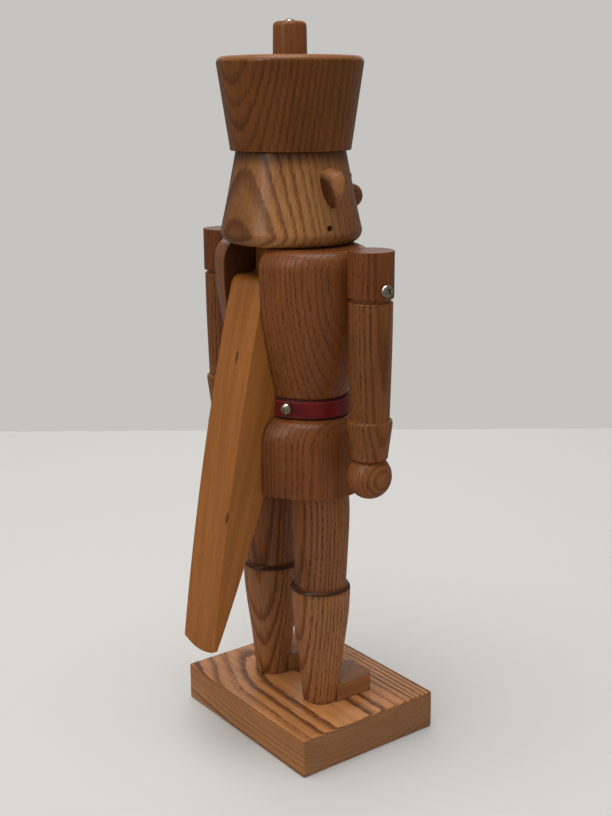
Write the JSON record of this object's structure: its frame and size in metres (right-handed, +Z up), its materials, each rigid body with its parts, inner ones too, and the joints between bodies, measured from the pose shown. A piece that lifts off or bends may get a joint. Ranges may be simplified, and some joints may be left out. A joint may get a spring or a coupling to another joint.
{
  "type": "wooden nutcracker",
  "caption": "Standing turned-wood nutcracker figure with a flared hat, leather belt, swinging arms and a long back lever that lowers its jaw to take a nut.",
  "frame": {"origin": "middle of the board's underside", "axes": "+Z up, the figure faces -Y, its own right side is -X"},
  "size_m": [0.1394, 0.1046, 0.3401],
  "materials": {
    "board_pine": "satin varnish over a boldly banded board",
    "turned_ash": "satin varnish over ring-porous wood",
    "toe_ash": "satin varnish",
    "head_ash": "satin varnish over ring-porous wood",
    "hat_ash": "satin varnish over ring-porous wood",
    "lever_beech": "satin varnish over fine plain wood",
    "eye_wood": "satin",
    "dowel_wood": "bare",
    "belt_leather": "satin, dyed",
    "screw_steel": "plated, slightly worn"
  },
  "bodies": {
    "figure": {"base_plate": "board_pine", "right_leg": "turned_ash", "left_leg": "turned_ash", "right_foot": "toe_ash", "left_foot": "toe_ash", "right_torso_half": "turned_ash", "left_torso_half": "turned_ash", "torso_front": "turned_ash", "head": "head_ash", "right_ear": "head_ash", "left_ear": "head_ash", "nose": "head_ash", "right_eye": "eye_wood", "left_eye": "eye_wood", "hat": "hat_ash", "hat_knob": "hat_ash", "knob_screw": "screw_steel", "hat_dowel": "dowel_wood", "lever_pin": "screw_steel", "right_shoulder_screw": "screw_steel", "left_shoulder_screw": "screw_steel", "belt": "belt_leather", "right_belt_screw": "screw_steel", "left_belt_screw": "screw_steel", "right_leg_screw": "screw_steel", "left_leg_screw": "screw_steel", "right_hip_dowel": "dowel_wood", "left_hip_dowel": "dowel_wood", "right_neck_dowel": "dowel_wood", "left_neck_dowel": "dowel_wood"},
    "jaw_lever": {"jaw_lever": "lever_beech"},
    "right_arm": {"right_arm": "turned_ash"},
    "left_arm": {"left_arm": "turned_ash"}
  },
  "joints": [
    {"name": "jaw_lever_hinge", "type": "hinge", "parent": "figure", "child": "jaw_lever", "pos_m": [0, 0.0103, 0.2505], "axis": [1, 0, 0], "range_deg": [0, 30]},
    {"name": "right_arm_swing", "type": "hinge", "parent": "figure", "child": "right_arm", "pos_m": [-0.0572, 0.008, 0.2271], "axis": [1, 0, 0], "range_deg": [-180, 180]},
    {"name": "left_arm_swing", "type": "hinge", "parent": "figure", "child": "left_arm", "pos_m": [0.0572, 0.008, 0.2271], "axis": [1, 0, 0], "range_deg": [-180, 180]}
  ]
}
